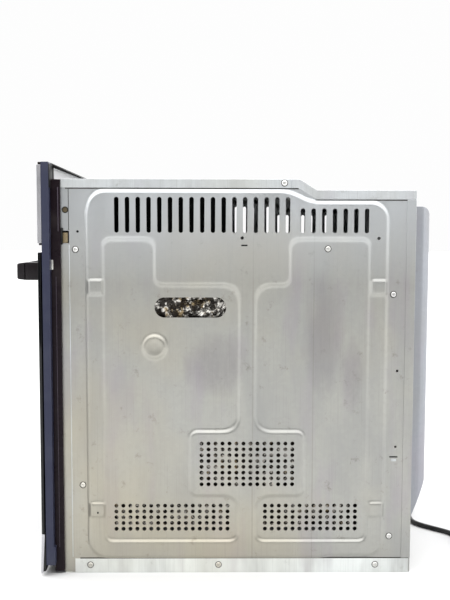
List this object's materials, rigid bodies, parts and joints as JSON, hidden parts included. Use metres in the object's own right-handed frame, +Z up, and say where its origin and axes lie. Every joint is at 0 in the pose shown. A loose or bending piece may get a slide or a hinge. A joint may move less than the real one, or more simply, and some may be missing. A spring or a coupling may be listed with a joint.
{
  "type": "built-in wall oven",
  "caption": "Built-in electric wall oven with a steel casing, punched side panels, a drop-down glass door, a control panel and a mains lead.",
  "frame": {"origin": "middle of the base tray's underside", "axes": "+Z up, the door and controls face -Y, the lead leaves at the back towards +Y"},
  "size_m": [0.595, 0.806, 0.603],
  "materials": {
    "galvanised_steel": "galvanised sheet steel with faint smudges",
    "cover_steel": "pale zinc-coated sheet steel",
    "black_enamel": "satin black enamel",
    "cavity_enamel": "speckled dark enamel",
    "dark_trim": "moulded blue-black plastic",
    "fascia_steel": "brushed stainless steel",
    "black_plastic": "moulded black plastic",
    "door_glass": "dark printed toughened glass",
    "clear_glass": "clear toughened glass",
    "hinge_steel": "zinc-plated steel",
    "chrome_wire": "bright plated wire",
    "element_steel": "heat-darkened sheathed tube",
    "blanket": "foil-faced mineral wool",
    "seal_rubber": "silicone door seal",
    "motor_metal": "plated motor casing",
    "lead_rubber": "black rubber-sheathed lead"
  },
  "bodies": {
    "root": {"side_panel_right": "galvanised_steel", "side_panel_left": "galvanised_steel", "top_cover_front": "galvanised_steel", "top_cover_rear": "galvanised_steel", "base_tray": "galvanised_steel", "rear_panel": "galvanised_steel", "rear_cover": "cover_steel", "front_frame": "black_enamel", "side_trim_right": "dark_trim", "side_trim_left": "dark_trim", "stay_right": "galvanised_steel", "stay_left": "galvanised_steel", "control_fascia": "fascia_steel", "control_housing": "black_plastic", "timer_window": "door_glass", "function_switch": "black_plastic", "thermostat": "black_plastic", "hinge_arm_right": "hinge_steel", "hinge_arm_left": "hinge_steel", "oven_cavity": "cavity_enamel", "insulation": "blanket", "door_seal": "seal_rubber", "shelf_rack_right": "chrome_wire", "shelf_rack_left": "chrome_wire", "grill_element": "element_steel", "lower_element": "element_steel", "ring_element": "element_steel", "fan_motor": "motor_metal", "fan_baffle": "cavity_enamel", "oven_lamp": "clear_glass", "cooling_fan_housing": "motor_metal", "power_cord": "lead_rubber", "cord_gland": "lead_rubber", "cord_coil": "lead_rubber", "power_plug": "lead_rubber", "casing_screws": "hinge_steel"},
    "door": {"door_outer_glass": "door_glass", "door_frame": "black_enamel", "door_inner_glass": "clear_glass", "door_top_rail": "black_plastic", "door_bottom_trim": "fascia_steel", "door_handle": "black_plastic", "handle_brackets": "black_plastic", "hinge_body_right": "hinge_steel", "hinge_body_left": "hinge_steel", "hinge_pins": "hinge_steel", "hinge_springs": "hinge_steel"},
    "hinge_rods": {"hinge_rods": "hinge_steel"},
    "shelf": {"wire_shelf": "chrome_wire"},
    "tray": {"baking_tray": "element_steel"},
    "convection_fan": {"convection_fan": "motor_metal"},
    "cooling_drum": {"cooling_fan_drum": "motor_metal"},
    "function_spindle": {"function_spindle": "hinge_steel"},
    "function_knob": {"function_knob": "black_plastic"},
    "temperature_spindle": {"temperature_spindle": "hinge_steel"},
    "temperature_knob": {"temperature_knob": "black_plastic"},
    "button_minus": {"timer_button_minus": "black_plastic"},
    "button_mode": {"timer_button_mode": "black_plastic"},
    "button_plus": {"timer_button_plus": "black_plastic"}
  },
  "joints": [
    {"name": "door_hinge", "type": "hinge", "parent": "root", "child": "door", "pos_m": [0, -0.278, 0.012], "axis": [1, 0, 0], "range_deg": [0, 90], "stiffness_Nm_per_rad": 16},
    {"name": "hinge_rod_slide", "type": "slide", "parent": "door", "child": "hinge_rods", "axis": [0, 0, -1], "range_m": [0, 0.012], "deforming": ["hinge_springs"]},
    {"name": "shelf_slide", "type": "slide", "parent": "root", "child": "shelf", "axis": [0, -1, 0], "range_m": [0, 0.015]},
    {"name": "tray_slide", "type": "slide", "parent": "root", "child": "tray", "axis": [0, -1, 0], "range_m": [0, 0.015]},
    {"name": "convection_spin", "type": "hinge", "parent": "root", "child": "convection_fan", "pos_m": [0, 0.14, 0.27], "axis": [0, 1, 0], "continuous": true},
    {"name": "cooling_spin", "type": "hinge", "parent": "root", "child": "cooling_drum", "pos_m": [0, -0.0715, 0.5035], "axis": [1, 0, 0], "continuous": true},
    {"name": "function_turn", "type": "hinge", "parent": "root", "child": "function_spindle", "pos_m": [-0.185, -0.27, 0.545], "axis": [0, 1, 0], "continuous": true},
    {"name": "function_push", "type": "slide", "parent": "function_spindle", "child": "function_knob", "axis": [0, -1, 0], "range_m": [0, 0.014]},
    {"name": "temperature_turn", "type": "hinge", "parent": "root", "child": "temperature_spindle", "pos_m": [0.185, -0.27, 0.545], "axis": [0, 1, 0], "range_deg": [0, 270]},
    {"name": "temperature_push", "type": "slide", "parent": "temperature_spindle", "child": "temperature_knob", "axis": [0, -1, 0], "range_m": [0, 0.014]},
    {"name": "button_minus_press", "type": "slide", "parent": "root", "child": "button_minus", "axis": [0, 1, 0], "range_m": [0, 0.0015], "stiffness_N_per_m": 600},
    {"name": "button_mode_press", "type": "slide", "parent": "root", "child": "button_mode", "axis": [0, 1, 0], "range_m": [0, 0.0015], "stiffness_N_per_m": 600},
    {"name": "button_plus_press", "type": "slide", "parent": "root", "child": "button_plus", "axis": [0, 1, 0], "range_m": [0, 0.0015], "stiffness_N_per_m": 600}
  ],
  "couplings": [
    {"joint": "hinge_rod_slide", "follows": "door_hinge", "m_per_rad": 0.00763}
  ]
}
